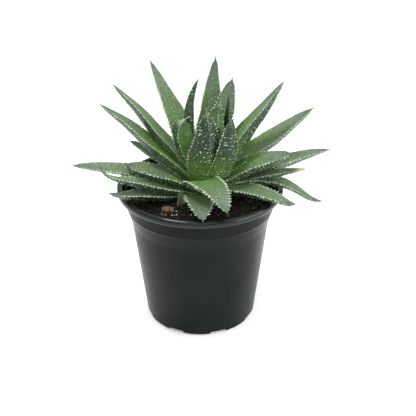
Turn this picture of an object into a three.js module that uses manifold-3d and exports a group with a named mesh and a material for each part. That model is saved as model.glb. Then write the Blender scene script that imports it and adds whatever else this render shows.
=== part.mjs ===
// Potted lace aloe: a rosette of thick, keeled, awned leaves in a moulded nursery pot.
// Millimetres, +Z up, origin at the centre of the pot's flat underside.
import * as THREE from 'three';
import { mergeVertices } from 'three/addons/utils/BufferGeometryUtils.js';
import Module from 'manifold-3d';

const wasm = await Module();
wasm.setup();
const { Manifold, Mesh: SolidMesh } = wasm;

// Driving dimensions of the pot
const POT_HEIGHT = 92;
const RIM_RADIUS = 52.5;
const RIM_DROP = 4.6;
const COLLAR_RADIUS = 46.4;
const COLLAR_BOTTOM = 77;
const SHOULDER_RADIUS = 43.7;
const SHOULDER_BOTTOM = 68;
const BASE_RADIUS = 36;
const WALL = 1.3;
const FLOOR_THICKNESS = 1.6;
const POT_SIDES = 40;

// Drain slots in the bottom edge
const SLOT_COUNT = 8;
const SLOT_WIDTH = 11;
const SLOT_HEIGHT = 2.2;
const SLOT_DEPTH = 7;
const SLOT_FIRST_ANGLE = -71;

// Soil, stem and the small things on the soil
const GAP = 0.35;
const SOIL_LEVEL = 85.6;
const SOIL_CROWN = 1.4;
const STEM_X = 3;
const STEM_TOP = 97;
const STEM_FOOT = 76;
const STEM_RADIUS = 6.2;
const STEM_TIP_RADIUS = 2.6;

// Leaf section and outline
const LEAF_STATIONS = 10;
const WIDEST_AT = 0.28;
const BASE_SHARE = 0.8;
const DISH = 0.15;
const KEEL = 0.7;
const MARGIN_HALF = 0.25;
const TIP_HALF = 0.35;
const CURL_START = 0.78;
const ACROSS = [-1, -0.5, 0, 0.5, 1];

const DEG = Math.PI / 180;

const plastic = { color: 0x2b3133, roughness: 0.42, metalness: 0 };
const peat = { color: 0x14110e, roughness: 0.95, metalness: 0 };
const leafSkin = { color: 0x5c7f52, roughness: 0.48, metalness: 0 };
const stemSkin = { color: 0x6b7a45, roughness: 0.6, metalness: 0 };
const bark = { color: 0x8a6a45, roughness: 0.9, metalness: 0 };
const dryRoot = { color: 0xb59a8c, roughness: 0.85, metalness: 0 };

// Each ring of leaves sits at its own radius and height on the stem.
const RINGS = {
  outer: { seatRadius: 7, seatHeight: 89, fullness: 2.2 },
  middle: { seatRadius: 5.2, seatHeight: 94, fullness: 1.5 },
  inner: { seatRadius: 4.2, seatHeight: 95, fullness: 1.6 },
  heart: { seatRadius: 3.4, seatHeight: 96, fullness: 1.8 },
};

// azimuth: compass direction of the leaf, degrees from +X towards +Y.
// rise and finish: slope of the leaf at its base and at its tip, degrees above level.
// curl: extra upward bend of the stretch beyond curlStart. roll: turn of the blade about its own length.
// dish: depth of the channel along the upper face, as a share of the half-width.
function leaf(name, ring, azimuth, rise, finish, length, width, extra = {}) {
  const plain = { curl: 0, curlStart: CURL_START, roll: 0, dish: DISH };
  return { name, azimuth, rise, finish, length, width, ...plain, ...RINGS[ring], ...extra };
}

// Inner leaves come first: each later leaf is trimmed where it would pass through an earlier one.
const LEAVES = [
  leaf('heart_leaf_center', 'heart', 345, 72, 88, 43, 9, { seatRadius: 1 }),
  leaf('heart_leaf_back', 'heart', 42, 78, 79, 50, 17, { fullness: 2.6, dish: 0.4, roll: 8 }),
  leaf('heart_leaf_back_right', 'heart', 22, 62, 92, 56, 12),
  leaf('heart_leaf_front', 'heart', 287, 66, 93, 53, 20, { seatRadius: 4, seatHeight: 95, seatAzimuth: 245 }),
  leaf('heart_leaf_right', 'heart', 330, 62, 90, 49, 22, { seatRadius: 6, seatHeight: 95, curl: -65 }),
  leaf('heart_leaf_left', 'heart', 176, 40, 88, 48, 19, {
    seatRadius: 3.6, seatHeight: 96.6, seatAzimuth: 15, fullness: 4.4,
    curl: 88, curlStart: 0.66, roll: -23, dish: 0.3 }),
  leaf('inner_leaf_left', 'inner', 178, 68, 116, 65, 12.5, {
    seatRadius: 13, seatHeight: 95, seatAzimuth: 113, roll: 35 }),
  leaf('inner_leaf_back', 'inner', 80, 66, 58, 77, 17),
  leaf('inner_leaf_back_right', 'inner', 57, 66, 62, 65, 16, { fullness: 3 }),
  leaf('inner_leaf_right', 'inner', 18, 56, 46, 77, 22, { roll: -14 }),
  leaf('middle_leaf_back_left', 'middle', 124, 50, 41, 87, 16.5),
  leaf('middle_leaf_left_high', 'middle', 146, 42, 30, 85, 17, { roll: 24, fullness: 1.7 }),
  leaf('middle_leaf_left_low', 'middle', 160, 36, 28, 80, 17, { roll: 10, fullness: 1.7 }),
  leaf('middle_leaf_right', 'middle', 18, 31, 30, 80, 18.5, { fullness: 2.2 }),
  leaf('middle_leaf_right_low', 'middle', 348, 36, 16, 57, 16, { seatHeight: 93, roll: 12, fullness: 2.8 }),
  leaf('front_leaf', 'middle', 292, 40, -30, 59.5, 18.5, { seatRadius: 9.5, seatAzimuth: 222, fullness: 2.1 }),
  leaf('outer_leaf_left_upper', 'outer', 187, 28, 9, 48, 19, { seatHeight: 91, curl: 70, fullness: 3.4 }),
  leaf('outer_leaf_left_long', 'outer', 181, 22, 0, 80, 12, { roll: -10, fullness: 3 }),
  leaf('outer_leaf_left_lower', 'outer', 203, 22, 16, 70, 15, {
    seatHeight: 87, curl: 70, curlStart: 0.7, fullness: 1 }),
  leaf('outer_leaf_on_rim', 'outer', 207, 8, 14, 61, 12, { seatHeight: 87, curl: 25 }),
  leaf('outer_leaf_left_short', 'outer', 155, 33, 14, 54, 12, { seatHeight: 90 }),
  leaf('outer_leaf_right', 'outer', 3, 27, 8, 77, 16, { seatHeight: 90 }),
  leaf('outer_leaf_dry_tip', 'outer', 348, 29, 9, 61, 11, { seatHeight: 88 }),
  leaf('outer_leaf_right_drooping', 'outer', 349, 36, -52, 74, 11.5, { curl: 70 }),
  leaf('outer_leaf_front_right', 'outer', 325, 26, -20, 62, 14, { curl: 60 }),
  leaf('outer_leaf_front', 'outer', 276, 24, -4, 50, 14.5, {
    seatRadius: 10, seatHeight: 87, seatAzimuth: 235, curl: -45, fullness: 3 }),
  leaf('back_leaf_a', 'outer', 36, 14, 2, 45, 14),
  leaf('back_leaf_b', 'outer', 60, 18, 0, 58, 16, { seatHeight: 90 }),
  leaf('back_leaf_c', 'outer', 82, 16, 0, 56, 17, { seatHeight: 90 }),
  leaf('back_leaf_d', 'outer', 104, 18, 0, 58, 16, { seatHeight: 90 }),
  leaf('back_leaf_e', 'outer', 126, 15, 0, 54, 15),
];

// Unit steps along the leaf: slope runs evenly from rise to finish, plus the tip's curl.
function leafFrame(spec, s) {
  const curled = Math.max(0, (s - spec.curlStart) / (1 - spec.curlStart)) ** 1.5;
  const slope = (spec.rise + (spec.finish - spec.rise) * s + spec.curl * curled) * DEG;
  const heading = spec.azimuth * DEG;
  const along = new THREE.Vector3(
    Math.cos(slope) * Math.cos(heading), Math.cos(slope) * Math.sin(heading), Math.sin(slope));
  const level = new THREE.Vector3(-Math.sin(heading), Math.cos(heading), 0);
  const up = new THREE.Vector3().crossVectors(along, level);
  const side = level.applyAxisAngle(along, spec.roll * DEG);
  const normal = up.applyAxisAngle(along, spec.roll * DEG);
  return { along, side, normal };
}

// Half-width: a rounded swelling from the base, then a taper to the awn.
function leafHalfWidth(spec, s) {
  const swell = BASE_SHARE + (1 - BASE_SHARE) * Math.sin(Math.min(s / WIDEST_AT, 1) * Math.PI / 2);
  const taper = 1 - Math.max(0, (s - WIDEST_AT) / (1 - WIDEST_AT)) ** spec.fullness;
  return Math.max(TIP_HALF, spec.width / 2 * (s < WIDEST_AT ? swell : taper));
}

// One closed leaf. grow thickens it all round, for cutting a clear gap into a neighbour.
function leafGeometry(spec, grow = 0) {
  const seat = (spec.seatAzimuth ?? spec.azimuth) * DEG;
  const point = new THREE.Vector3(
    STEM_X + spec.seatRadius * Math.cos(seat), spec.seatRadius * Math.sin(seat), spec.seatHeight);
  const positions = [];
  const fine = 8;
  const steps = (LEAF_STATIONS - 1) * fine;
  for (let i = 0; i <= steps; i += 1) {
    const s = i / steps;
    const { along, side, normal } = leafFrame(spec, s);
    if (i % fine === 0) {
      const half = leafHalfWidth(spec, s) + grow;
      const edge = Math.min(MARGIN_HALF, half * 0.6) + grow;
      const upper = ACROSS.map((t) => [t * half, spec.dish * half * t * t + edge]);
      const lower = ACROSS.map((t) => [-t * half,
        spec.dish * half * t * t - KEEL * half * (1 - Math.abs(t) ** 1.5) - edge]);
      const end = i === 0 ? -grow : (i === steps ? grow : 0);
      for (const [u, v] of [...upper, ...lower]) {
        const p = point.clone().addScaledVector(side, u).addScaledVector(normal, v);
        p.addScaledVector(along, end);
        positions.push(p.x, p.y, p.z);
      }
    }
    point.addScaledVector(along, spec.length / steps);
  }
  return loft(positions, ACROSS.length * 2);
}

// Closed skin over rings of points, each ring with the same number of points.
function loft(positions, ringSize) {
  const rings = positions.length / 3 / ringSize;
  const index = [];
  for (let r = 0; r < rings - 1; r += 1) {
    for (let k = 0; k < ringSize; k += 1) {
      const a = r * ringSize + k;
      const b = r * ringSize + (k + 1) % ringSize;
      index.push(a, b + ringSize, b, a, a + ringSize, b + ringSize);
    }
  }
  const last = (rings - 1) * ringSize;
  const half = ringSize / 2;
  for (let k = 0; k < half - 1; k += 1) {
    const m = ringSize - 1 - k;
    index.push(k, k + 1, m, m, k + 1, m - 1);
    index.push(last + k, last + m, last + k + 1, last + m, last + m - 1, last + k + 1);
  }
  const geometry = new THREE.BufferGeometry();
  geometry.setAttribute('position', new THREE.Float32BufferAttribute(positions, 3));
  geometry.setIndex(index);
  return geometry;
}

function toSolid(geometry) {
  const bare = geometry.clone();
  bare.deleteAttribute('normal');
  bare.deleteAttribute('uv');
  const merged = mergeVertices(bare, 1e-4);
  return new Manifold(new SolidMesh({
    numProp: 3,
    vertProperties: new Float32Array(merged.attributes.position.array),
    triVerts: new Uint32Array(merged.index.array),
  }));
}

function toGeometry(solid) {
  const mesh = solid.getMesh();
  const geometry = new THREE.BufferGeometry();
  geometry.setAttribute('position', new THREE.Float32BufferAttribute(mesh.vertProperties, mesh.numProp));
  geometry.setIndex(new THREE.BufferAttribute(mesh.triVerts, 1));
  geometry.computeVertexNormals();
  return geometry;
}

function biggestBody(solid) {
  const bodies = solid.decompose();
  return bodies.reduce((best, body) => (body.volume() > best.volume() ? body : best));
}

// A turned shape from [radius, height] pairs, standing on +Z.
function turned(profile, sides) {
  const geometry = new THREE.LatheGeometry(profile.map(([r, z]) => new THREE.Vector2(r, z)), sides);
  geometry.rotateX(Math.PI / 2);
  return geometry;
}

function potSolid() {
  const lipBottom = POT_HEIGHT - RIM_DROP;
  const profile = [
    [0, 0],
    [BASE_RADIUS - 1.4, 0],
    [BASE_RADIUS - 0.4, 0.5],
    [BASE_RADIUS, 1.6],
    [SHOULDER_RADIUS, SHOULDER_BOTTOM],
    [COLLAR_RADIUS - 0.2, COLLAR_BOTTOM],
    [COLLAR_RADIUS, COLLAR_BOTTOM + 0.8],
    [COLLAR_RADIUS + 0.4, lipBottom],
    [RIM_RADIUS - 1.2, lipBottom + 0.1],
    [RIM_RADIUS - 0.2, lipBottom + 0.8],
    [RIM_RADIUS, POT_HEIGHT - 2.2],
    [RIM_RADIUS - 0.4, POT_HEIGHT - 0.8],
    [RIM_RADIUS - 1.4, POT_HEIGHT - 0.1],
    [RIM_RADIUS - 2.6, POT_HEIGHT],
    [RIM_RADIUS - 3.6, POT_HEIGHT - 0.6],
    [RIM_RADIUS - 4.4, POT_HEIGHT - 2],
    [COLLAR_RADIUS - WALL + 0.3, lipBottom - 0.6],
    [COLLAR_RADIUS - WALL - 0.2, COLLAR_BOTTOM + 1],
    [SHOULDER_RADIUS - WALL, SHOULDER_BOTTOM + 0.4],
    [BASE_RADIUS - WALL, FLOOR_THICKNESS + 0.8],
    [BASE_RADIUS - WALL - 1, FLOOR_THICKNESS],
    [0, FLOOR_THICKNESS],
  ];
  let pot = toSolid(turned(profile, POT_SIDES));
  for (let i = 0; i < SLOT_COUNT; i += 1) {
    const slot = new THREE.BoxGeometry(SLOT_DEPTH, SLOT_WIDTH, SLOT_HEIGHT * 2);
    slot.translate(BASE_RADIUS, 0, 0);
    slot.rotateZ((SLOT_FIRST_ANGLE + i * 360 / SLOT_COUNT) * DEG);
    pot = pot.subtract(toSolid(slot));
  }
  return pot;
}

function soilSolid(cutters) {
  const inner = (radius) => radius - WALL - GAP;
  const lipBottom = POT_HEIGHT - RIM_DROP;
  const profile = [
    [0, FLOOR_THICKNESS + GAP],
    [inner(BASE_RADIUS) - 1, FLOOR_THICKNESS + GAP],
    [inner(BASE_RADIUS), FLOOR_THICKNESS + 0.8 + GAP],
    [inner(SHOULDER_RADIUS), SHOULDER_BOTTOM + 0.6],
    [inner(COLLAR_RADIUS) - 0.25, COLLAR_BOTTOM + 1.2],
    [inner(COLLAR_RADIUS) - 0.1, lipBottom - 2.4],
    [38, SOIL_LEVEL],
    [24, SOIL_LEVEL + SOIL_CROWN * 0.6],
    [0, SOIL_LEVEL + SOIL_CROWN],
  ];
  return cutters.reduce((soil, cutter) => soil.subtract(cutter), toSolid(turned(profile, POT_SIDES)));
}

function stemGeometry(grow = 0) {
  const profile = [
    [0, STEM_FOOT - grow],
    [STEM_RADIUS * 0.7 + grow, STEM_FOOT - grow],
    [STEM_RADIUS + grow, STEM_FOOT + 6],
    [STEM_RADIUS + grow, SOIL_LEVEL + 5],
    [STEM_RADIUS * 0.7 + grow, STEM_TOP - 4],
    [STEM_TIP_RADIUS + grow, STEM_TOP + grow],
    [0, STEM_TOP + grow],
  ];
  const geometry = turned(profile, 16);
  geometry.translate(STEM_X, 0, 0);
  return geometry;
}

// A rough chip: a ball of few facets, squashed and knocked out of round.
function barkGeometry() {
  const geometry = new THREE.IcosahedronGeometry(1, 1);
  const position = geometry.attributes.position;
  for (let i = 0; i < position.count; i += 1) {
    const [x, y, z] = [position.getX(i), position.getY(i), position.getZ(i)];
    const knock = 1 + 0.12 * Math.sin(5 * x + 2 * y) * Math.cos(4 * z - 3 * x);
    position.setXYZ(i, x * 3.9 * knock, y * 2.6 * knock, z * 1.9 * knock);
  }
  geometry.rotateZ(-18 * DEG);
  geometry.translate(-19, -28.5, SOIL_LEVEL + SOIL_CROWN + 1.8);
  return geometry;
}

// A dry root hoop that stands half out of the soil beside the wall.
function rootGeometry() {
  const points = [];
  for (let i = 0; i <= 8; i += 1) {
    const turn = (20 + i * 30) * DEG;
    points.push(new THREE.Vector3(
      -40.5 - 3.2 * Math.cos(turn), 1 + 1.6 * Math.cos(turn), SOIL_LEVEL + 1.6 + 2.4 * Math.sin(turn * 0.7)));
  }
  const path = new THREE.CatmullRomCurve3(points);
  const section = new THREE.Shape();
  section.absarc(0, 0, 0.6, 0, Math.PI * 2);
  return new THREE.ExtrudeGeometry(section, { steps: 12, extrudePath: path, curveSegments: 4 });
}

const PUP = leaf('pup_leaf', 'outer', 100, 84, 80, 13, 4.4, {
  seatAzimuth: 236, seatRadius: 25.5, seatHeight: SOIL_LEVEL - 1, fullness: 1.2 });

const plant = new THREE.Group();

function addPiece(name, geometry, finish) {
  const mesh = new THREE.Mesh(geometry, new THREE.MeshStandardMaterial(finish));
  mesh.name = name;
  plant.add(mesh);
}

const cutters = [toSolid(stemGeometry(GAP))];
addPiece('stem', stemGeometry(), stemSkin);

for (const spec of [...LEAVES, PUP]) {
  const whole = toSolid(leafGeometry(spec));
  const trimmed = cutters.reduce((solid, cutter) => solid.subtract(cutter), whole);
  addPiece(spec.name, toGeometry(biggestBody(trimmed)), leafSkin);
  cutters.push(toSolid(leafGeometry(spec, GAP)));
}

addPiece('pot', toGeometry(potSolid()), plastic);
addPiece('potting_soil', toGeometry(biggestBody(soilSolid(cutters))), peat);
addPiece('bark_chip', barkGeometry(), bark);
addPiece('root_curl', rootGeometry(), dryRoot);

export default plant;
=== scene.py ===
"""Looks of the potted lace aloe: pot, peat, rosette of toothed leaves, and the things lying on the peat.

Lengths in the classes are millimetres, as in the part's source; meshes are written in metres.
"""

import logging
import math
from dataclasses import dataclass, field
from enum import Enum

import bpy
import numpy as np
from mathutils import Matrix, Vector

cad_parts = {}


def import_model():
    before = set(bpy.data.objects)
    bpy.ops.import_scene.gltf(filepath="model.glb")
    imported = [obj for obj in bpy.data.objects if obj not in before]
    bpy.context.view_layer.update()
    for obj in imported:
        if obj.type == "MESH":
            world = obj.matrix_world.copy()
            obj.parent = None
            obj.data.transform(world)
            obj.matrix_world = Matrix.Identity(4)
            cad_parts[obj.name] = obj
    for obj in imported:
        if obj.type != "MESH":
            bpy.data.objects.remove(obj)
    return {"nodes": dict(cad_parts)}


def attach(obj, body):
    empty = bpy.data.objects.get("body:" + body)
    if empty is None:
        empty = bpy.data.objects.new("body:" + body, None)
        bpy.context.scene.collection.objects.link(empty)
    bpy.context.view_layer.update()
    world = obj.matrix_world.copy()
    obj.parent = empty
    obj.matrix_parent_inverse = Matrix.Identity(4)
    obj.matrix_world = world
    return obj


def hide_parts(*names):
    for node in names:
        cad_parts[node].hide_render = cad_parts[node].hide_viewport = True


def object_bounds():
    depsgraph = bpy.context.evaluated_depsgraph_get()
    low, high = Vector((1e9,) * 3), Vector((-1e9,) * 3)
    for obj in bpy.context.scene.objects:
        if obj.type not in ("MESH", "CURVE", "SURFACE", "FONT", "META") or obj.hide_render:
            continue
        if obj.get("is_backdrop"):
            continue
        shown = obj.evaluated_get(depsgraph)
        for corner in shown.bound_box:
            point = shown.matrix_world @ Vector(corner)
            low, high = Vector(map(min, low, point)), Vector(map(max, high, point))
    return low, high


LOG = logging.getLogger("lace_aloe")
MM = 0.001
TOOTH_SLOT = 1

POT_HEIGHT = 92.0
RIM_RADIUS = 52.5
SOIL_LEVEL = 85.6
SOIL_CROWN = 1.4
STEM_X = 3.0


# ---------------------------------------------------------------- meshes


@dataclass
class MeshBuilder:
    """Collects closed surfaces and puts them into one mesh object.

    Each batch is a block of points with quads and triangles that index into it, one finish
    number, and the same named point values as every other batch.
    """

    names: tuple[str, ...] = ()
    points: list[np.ndarray] = field(default_factory=list)
    faces: list[np.ndarray] = field(default_factory=list)
    finishes: list[np.ndarray] = field(default_factory=list)
    values: dict[str, list[np.ndarray]] = field(default_factory=dict)
    count: int = 0

    def add(self, points: np.ndarray, faces: list[np.ndarray], finish: int = 0,
            **values: np.ndarray) -> None:
        """Adds one block.

        Args:
            points: (n, 3) places in millimetres.
            faces: arrays of shape (m, corners) that index the block's points.
            finish: number of the material slot of these faces.
            values: one (n,) array for each of the builder's value names.
        """
        for block in faces:
            self.faces.append(block + self.count)
            self.finishes.append(np.full(len(block), finish, np.int32))
        self.points.append(points)
        for name in self.names:
            given = values.get(name, 0.0)
            each = np.broadcast_to(given, (len(points),)).astype(np.float32)
            self.values.setdefault(name, []).append(each)
        self.count += len(points)

    def build(self, name: str, materials: list[bpy.types.Material]) -> bpy.types.Object:
        """Makes the mesh object, shaded smooth, at the origin.

        Args:
            name: name of the object and its mesh.
            materials: one material for each finish number.

        Returns:
            The new object, linked into the scene.
        """
        places = np.concatenate(self.points) * MM
        sizes = np.concatenate([np.full(len(block), block.shape[1], np.int32) for block in self.faces])
        corners = np.concatenate([block.ravel() for block in self.faces]).astype(np.int32)
        starts = np.concatenate([[0], np.cumsum(sizes)[:-1]]).astype(np.int32)
        mesh = bpy.data.meshes.new(name)
        mesh.vertices.add(len(places))
        mesh.vertices.foreach_set("co", places.astype(np.float32).ravel())
        mesh.loops.add(len(corners))
        mesh.loops.foreach_set("vertex_index", corners)
        mesh.polygons.add(len(sizes))
        mesh.polygons.foreach_set("loop_start", starts)
        mesh.polygons.foreach_set("loop_total", sizes)
        mesh.polygons.foreach_set("material_index", np.concatenate(self.finishes))
        mesh.polygons.foreach_set("use_smooth", np.ones(len(sizes), bool))
        for value, blocks in self.values.items():
            layer = mesh.attributes.new(value, "FLOAT", "POINT")
            layer.data.foreach_set("value", np.concatenate(blocks))
        mesh.update(calc_edges=True)
        mesh.validate()
        for material in materials:
            mesh.materials.append(material)
        piece = bpy.data.objects.new(name, mesh)
        bpy.context.scene.collection.objects.link(piece)
        return piece


def one_skin(
    name: str, points: np.ndarray, faces: list[np.ndarray], material: bpy.types.Material,
) -> bpy.types.Object:
    """A mesh object of one block and one material."""
    builder = MeshBuilder()
    builder.add(points, faces)
    return builder.build(name, [material])


def ring_quads(rings: int, around: int) -> np.ndarray:
    """Quads between successive rings of points that each close on themselves.

    Args:
        rings: number of rings.
        around: points in each ring.

    Returns:
        (m, 4) point numbers, facing out where rings run anticlockwise about the direction of travel.
    """
    r = np.arange(rings - 1)[:, None]
    k = np.arange(around)[None, :]
    here = r * around + k
    beside = r * around + (k + 1) % around
    return np.stack([here, beside, beside + around, here + around], -1).reshape(-1, 4)


def fan(centre: int, first: int, around: int, outward: bool) -> np.ndarray:
    """Triangles from a centre point to a closed ring of points that starts at first."""
    k = np.arange(around)
    a = first + k
    b = first + (k + 1) % around
    c = np.full(around, centre)
    return np.stack([c, a, b] if outward else [c, b, a], -1)


def closed_skin(
    rings: np.ndarray, start: np.ndarray, end: np.ndarray,
) -> tuple[np.ndarray, list[np.ndarray]]:
    """A closed surface over rings of points, with a pole point at each end.

    Args:
        rings: (rings, around, 3) points.
        start: the pole before the first ring.
        end: the pole after the last ring.

    Returns:
        The points and the face blocks.
    """
    n, around, _ = rings.shape
    points = np.concatenate([rings.reshape(-1, 3), start[None], end[None]])
    low = fan(n * around, 0, around, outward=False)
    high = fan(n * around + 1, (n - 1) * around, around, outward=True)
    return points, [ring_quads(n, around), low, high]


def smooth_step(edge0: float, edge1: float, x: np.ndarray) -> np.ndarray:
    """0 before edge0, 1 after edge1, and the cubic 3u^2 - 2u^3 between them."""
    u = np.clip((x - edge0) / (edge1 - edge0), 0.0, 1.0)
    return u * u * (3.0 - 2.0 * u)


def unit(v: np.ndarray) -> np.ndarray:
    """Vectors of length one along the last axis."""
    return v / np.maximum(np.linalg.norm(v, axis=-1, keepdims=True), 1e-9)


def waves(points: np.ndarray, rng: np.random.Generator, size: float, octaves: int) -> np.ndarray:
    """Smooth seeded roughness: a sum of sine waves in random directions, each octave half as long.

    Args:
        points: (..., 2) or (..., 3) places.
        rng: source of the directions and phases.
        size: wavelength of the first octave.
        octaves: number of octaves.

    Returns:
        Heights of about -1 to 1, one for each place.
    """
    total = np.zeros(points.shape[:-1])
    for octave in range(octaves):
        for _ in range(5):
            direction = unit(rng.normal(size=points.shape[-1]))
            rate = 2.0 * math.pi * 2.0**octave / size * rng.uniform(0.7, 1.3)
            total += np.sin(points @ direction * rate + rng.uniform(0, 2 * math.pi)) * 0.55**octave
    return total / 5.0


def studs(
    at: np.ndarray, up: np.ndarray, along: np.ndarray, half_length: np.ndarray, half_width: np.ndarray,
    height: np.ndarray, sides: int, lean: float, waist: float,
) -> tuple[np.ndarray, list[np.ndarray]]:
    """Small closed bumps: an oval foot, a narrower oval ring higher up, and a point on top.

    Args:
        at: (n, 3) centres of the feet.
        up: (n, 3) directions the bumps stand in.
        along: (n, 3) directions of the long axis of the foot.
        half_length: (n,) half of the foot's long axis.
        half_width: (n,) half of its short axis.
        height: (n,) height of the point above the foot.
        sides: corners of each ring.
        lean: how far the point leans along the long axis.
        waist: size of the upper ring as a share of the foot.

    Returns:
        The points and the face blocks.
    """
    count = len(at)
    up = unit(up)
    along = unit(along - up * np.sum(along * up, -1, keepdims=True))
    across = np.cross(up, along)
    angle = 2.0 * math.pi * np.arange(sides) / sides
    cos, sin = np.cos(angle), np.sin(angle)
    oval = (along[:, None] * (half_length[:, None] * cos)[..., None]
            + across[:, None] * (half_width[:, None] * sin)[..., None])
    shift = along * (lean * half_length)[:, None]
    foot = at[:, None] + oval - up[:, None] * (height * 0.35)[:, None, None]
    ring = at[:, None] + oval * waist + up[:, None] * (height * 0.5)[:, None, None] + 0.4 * shift[:, None]
    top = at + up * height[:, None] + shift
    block = np.concatenate([foot, ring, top[:, None]], 1)
    per = 2 * sides + 1
    base = (np.arange(count) * per)[:, None]
    k = np.arange(sides)[None]
    nxt = (k + 1) % sides
    quads = np.stack([base + k, base + nxt, base + sides + nxt, base + sides + k], -1).reshape(-1, 4)
    tips = np.stack([base + sides + k, base + sides + nxt, base + 2 * sides + 0 * k], -1).reshape(-1, 3)
    floor = (base + np.arange(sides)[None, ::-1]).reshape(-1, sides)
    return block.reshape(-1, 3), [quads, tips, floor]


# ---------------------------------------------------------------- finishes


@dataclass(frozen=True)
class NodeKit:
    """Short calls for wiring one material's nodes."""

    tree: bpy.types.NodeTree

    def node(self, kind: str, **settings: object) -> bpy.types.Node:
        """A new node of a type, with its properties set."""
        node = self.tree.nodes.new(kind)
        for key, value in settings.items():
            setattr(node, key, value)
        return node

    def link(self, a: bpy.types.NodeSocket, b: bpy.types.NodeSocket) -> None:
        """Joins an output to an input."""
        self.tree.links.new(a, b)

    def value(self, name: str) -> bpy.types.NodeSocket:
        """The named point value of the mesh."""
        return self.node("ShaderNodeAttribute", attribute_name=name).outputs["Fac"]

    def place(self) -> bpy.types.NodeSocket:
        """Object coordinates."""
        return self.node("ShaderNodeTexCoord").outputs["Object"]

    def noise(self, vector: bpy.types.NodeSocket, scale: float, detail: float = 3.0,
              rough: float = 0.55) -> bpy.types.NodeSocket:
        """Noise of about 0 to 1 at a scale per metre."""
        node = self.node("ShaderNodeTexNoise")
        node.inputs["Scale"].default_value = scale
        node.inputs["Detail"].default_value = detail
        node.inputs["Roughness"].default_value = rough
        self.link(vector, node.inputs["Vector"])
        return node.outputs["Fac"]

    def math(self, operation: str, a: object, b: object = 0.0) -> bpy.types.NodeSocket:
        """One arithmetic step on sockets or numbers."""
        node = self.node("ShaderNodeMath", operation=operation)
        for slot, given in zip(node.inputs, (a, b)):
            if isinstance(given, bpy.types.NodeSocket):
                self.link(given, slot)
            else:
                slot.default_value = given
        return node.outputs[0]

    def span(self, value: bpy.types.NodeSocket, low: float, high: float, to_low: float = 0.0,
             to_high: float = 1.0, smooth: bool = True) -> bpy.types.NodeSocket:
        """Maps low..high to to_low..to_high, clamped."""
        node = self.node("ShaderNodeMapRange", interpolation_type="SMOOTHSTEP" if smooth else "LINEAR")
        self.link(value, node.inputs["Value"])
        for key, number in (("From Min", low), ("From Max", high), ("To Min", to_low), ("To Max", to_high)):
            node.inputs[key].default_value = number
        return node.outputs["Result"]

    def mix(self, factor: object, a: object, b: object) -> bpy.types.NodeSocket:
        """Mixes two colours, each a socket or an (r, g, b)."""
        node = self.node("ShaderNodeMix", data_type="RGBA")
        for slot, given in ((node.inputs["Factor"], factor), (node.inputs[6], a), (node.inputs[7], b)):
            if isinstance(given, bpy.types.NodeSocket):
                self.link(given, slot)
            elif isinstance(given, tuple):
                slot.default_value = (*given, 1.0)
            else:
                slot.default_value = given
        return node.outputs[2]

    def grain(self, scale: float, relief: float, depth: float) -> bpy.types.Node:
        """The shared grain effect: its Value is noise of 0 to 1, its Normal the relief that noise makes.

        Args:
            scale: noise scale per metre.
            relief: strength of the relief.
            depth: depth of the relief in metres.

        Returns:
            The group node.
        """
        node = self.node("ShaderNodeGroup", node_tree=grain_group())
        self.link(self.place(), node.inputs["Place"])
        for name, number in (("Scale", scale), ("Relief", relief), ("Depth", depth)):
            node.inputs[name].default_value = number
        return node

    def bump(self, height: bpy.types.NodeSocket, strength: float, distance: float) -> bpy.types.NodeSocket:
        """A bump normal from a height, distance in metres."""
        node = self.node("ShaderNodeBump")
        node.inputs["Strength"].default_value = strength
        node.inputs["Distance"].default_value = distance
        self.link(height, node.inputs["Height"])
        return node.outputs["Normal"]


def grain_group() -> bpy.types.ShaderNodeTree:
    """The node group that every grained material shares, made the first time it is asked for.

    Returns:
        The group: Place, Scale, Relief and Depth in, Value and Normal out.
    """
    found = bpy.data.node_groups.get("fine_grain")
    if found is not None:
        return found
    group = bpy.data.node_groups.new("fine_grain", "ShaderNodeTree")
    group.interface.new_socket("Place", in_out="INPUT", socket_type="NodeSocketVector")
    for name in ("Scale", "Relief", "Depth"):
        group.interface.new_socket(name, in_out="INPUT", socket_type="NodeSocketFloat")
    group.interface.new_socket("Value", in_out="OUTPUT", socket_type="NodeSocketFloat")
    group.interface.new_socket("Normal", in_out="OUTPUT", socket_type="NodeSocketVector")
    kit = NodeKit(group)
    given = kit.node("NodeGroupInput")
    result = kit.node("NodeGroupOutput")
    noise = kit.node("ShaderNodeTexNoise")
    noise.inputs["Detail"].default_value = 4.0
    noise.inputs["Roughness"].default_value = 0.65
    bump = kit.node("ShaderNodeBump")
    kit.link(given.outputs["Place"], noise.inputs["Vector"])
    kit.link(given.outputs["Scale"], noise.inputs["Scale"])
    kit.link(given.outputs["Relief"], bump.inputs["Strength"])
    kit.link(given.outputs["Depth"], bump.inputs["Distance"])
    kit.link(noise.outputs["Fac"], bump.inputs["Height"])
    kit.link(noise.outputs["Fac"], result.inputs["Value"])
    kit.link(bump.outputs["Normal"], result.inputs["Normal"])
    return group


def new_material(name: str) -> tuple[bpy.types.Material, NodeKit, bpy.types.Node]:
    """A material with one Principled shader.

    Args:
        name: name of the material.

    Returns:
        The material, its node kit and the shader node.
    """
    material = bpy.data.materials.new(name)
    material.use_nodes = True
    tree = material.node_tree
    shader = next(node for node in tree.nodes if node.type == "BSDF_PRINCIPLED")
    return material, NodeKit(tree), shader


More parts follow.
